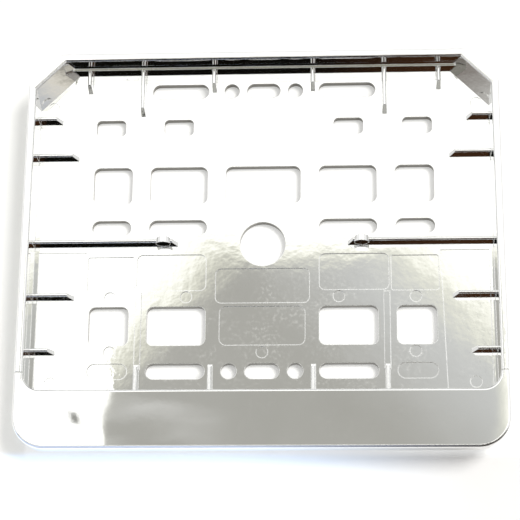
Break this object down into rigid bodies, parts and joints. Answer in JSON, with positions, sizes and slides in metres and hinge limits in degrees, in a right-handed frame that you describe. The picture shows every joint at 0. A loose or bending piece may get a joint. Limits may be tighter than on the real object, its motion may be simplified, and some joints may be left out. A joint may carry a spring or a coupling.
{
  "type": "number plate holder",
  "caption": "Chromed tray-shaped number plate holder for a motorcycle, with a raised rim, cut upper corners, screw slots and a lower strip that clips on.",
  "frame": {"origin": "centre of the large round hole, at the back face of the base", "axes": "+Z out of the front face, where the plate goes in; +Y towards the upper edge; +X to the right seen from the front"},
  "size_m": [0.198, 0.17, 0.016],
  "materials": {
    "chrome_tray": "mirror chrome plating over moulded plastic, slightly wavy",
    "chrome_strip": "mirror chrome plating over moulded plastic"
  },
  "bodies": {
    "root": {"plate_tray": "chrome_tray", "lower_strip": "chrome_strip"}
  },
  "joints": []
}
